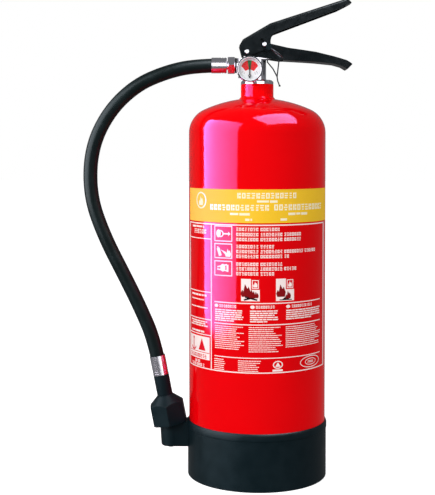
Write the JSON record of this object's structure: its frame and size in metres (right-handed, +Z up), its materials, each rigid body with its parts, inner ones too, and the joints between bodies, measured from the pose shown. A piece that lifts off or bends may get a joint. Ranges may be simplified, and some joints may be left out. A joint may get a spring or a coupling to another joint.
{
  "type": "fire extinguisher",
  "caption": "Upright stored-pressure foam fire extinguisher with squeeze lever, pressure gauge, safety pin and a side hose parked in a holder on its base.",
  "frame": {"origin": "middle of the base skirt's foot, on the floor and on the cylinder's axis", "axes": "+Z up along the cylinder; +X the way the two handles point; -Y the front, with the gauge and the label; -X the side of the hose"},
  "size_m": [0.3147, 0.164, 0.5565],
  "materials": {
    "red_paint": "gloss powder coat",
    "black_paint": "satin powder coat",
    "black_plastic": "moulded, satin",
    "chrome": "polished plating",
    "aluminium": "turned and anodised",
    "rubber": "smooth satin",
    "steel": "zinc plated",
    "brass": "machined",
    "clear_plastic_tube": "natural, translucent",
    "label_print": "printed film",
    "dial_print": "printed white enamel",
    "window": "clear",
    "foam_liquid": "liquid"
  },
  "bodies": {
    "cylinder": {"cylinder_shell": "red_paint", "bottom_dome": "red_paint", "neck_boss": "red_paint", "neck_o_ring": "rubber", "foam_charge": "foam_liquid", "valve_body": "chrome", "stem_o_ring": "rubber", "stem_spring": "steel", "spring_retainer": "brass", "dip_tube": "clear_plastic_tube", "dip_tube_strainer": "black_plastic", "gauge_case": "chrome", "gauge_o_ring": "rubber", "gauge_dial": "dial_print", "gauge_lens": "window", "bourdon_tube": "brass", "carry_handle": "black_paint", "pivot_pin": "steel", "handle_rivet": "steel", "outlet_o_ring": "rubber", "outlet_washer": "rubber", "hose_nut": "aluminium", "hose_tail": "brass", "ferrule_valve_end": "aluminium", "hose": "rubber", "base_skirt": "black_plastic", "nozzle_holder": "black_plastic", "front_label": "label_print"},
    "lever": {"squeeze_lever": "black_paint"},
    "stem": {"stem": "steel", "stem_seal": "rubber"},
    "needle": {"gauge_needle": "black_paint"},
    "safety_pin": {"safety_pin": "steel", "pin_tab": "black_plastic"},
    "pull_ring": {"pull_ring": "steel"},
    "tamper_seal": {"tamper_seal": "black_plastic"},
    "nozzle": {"ferrule_nozzle_end": "aluminium", "nozzle_shank": "black_plastic", "nozzle_head": "black_plastic", "nozzle_tube": "black_plastic", "nozzle_jet": "brass"}
  },
  "joints": [
    {"name": "lever_squeeze", "type": "hinge", "parent": "cylinder", "child": "lever", "pos_m": [-0.0124, 0, 0.4951], "axis": [0, 1, 0], "range_deg": [0, 16], "stiffness_Nm_per_rad": 1.5, "springref_deg": -20.05},
    {"name": "stem_travel", "type": "slide", "parent": "cylinder", "child": "stem", "axis": [0, 0, -1], "range_m": [0, 0.0055], "deforming": ["stem_spring"]},
    {"name": "gauge_needle_turn", "type": "hinge", "parent": "cylinder", "child": "needle", "pos_m": [-0.0095, -0.0235, 0.4665], "axis": [0, 1, 0], "range_deg": [-45, 45], "stiffness_Nm_per_rad": 0.0002},
    {"name": "safety_pin_pull", "type": "slide", "parent": "cylinder", "child": "safety_pin", "axis": [0, -1, 0], "range_m": [0, 0.05]},
    {"name": "pull_ring_swing", "type": "hinge", "parent": "safety_pin", "child": "pull_ring", "pos_m": [0.0149, -0.0242, 0.4977], "axis": [0, 1, 0], "range_deg": [-30, 50]},
    {"name": "tamper_seal_swing", "type": "hinge", "parent": "cylinder", "child": "tamper_seal", "pos_m": [0.008, 0, 0.5033], "axis": [0, -1, 0], "range_deg": [0, 8]},
    {"name": "nozzle_lift", "type": "slide", "parent": "cylinder", "child": "nozzle", "axis": [-0.1905, 0, 0.9817], "range_m": [0, 0.035], "deforming": ["hose"]}
  ],
  "couplings": [
    {"joint": "stem_travel", "follows": "lever_squeeze", "m_per_rad": 0.019194}
  ]
}
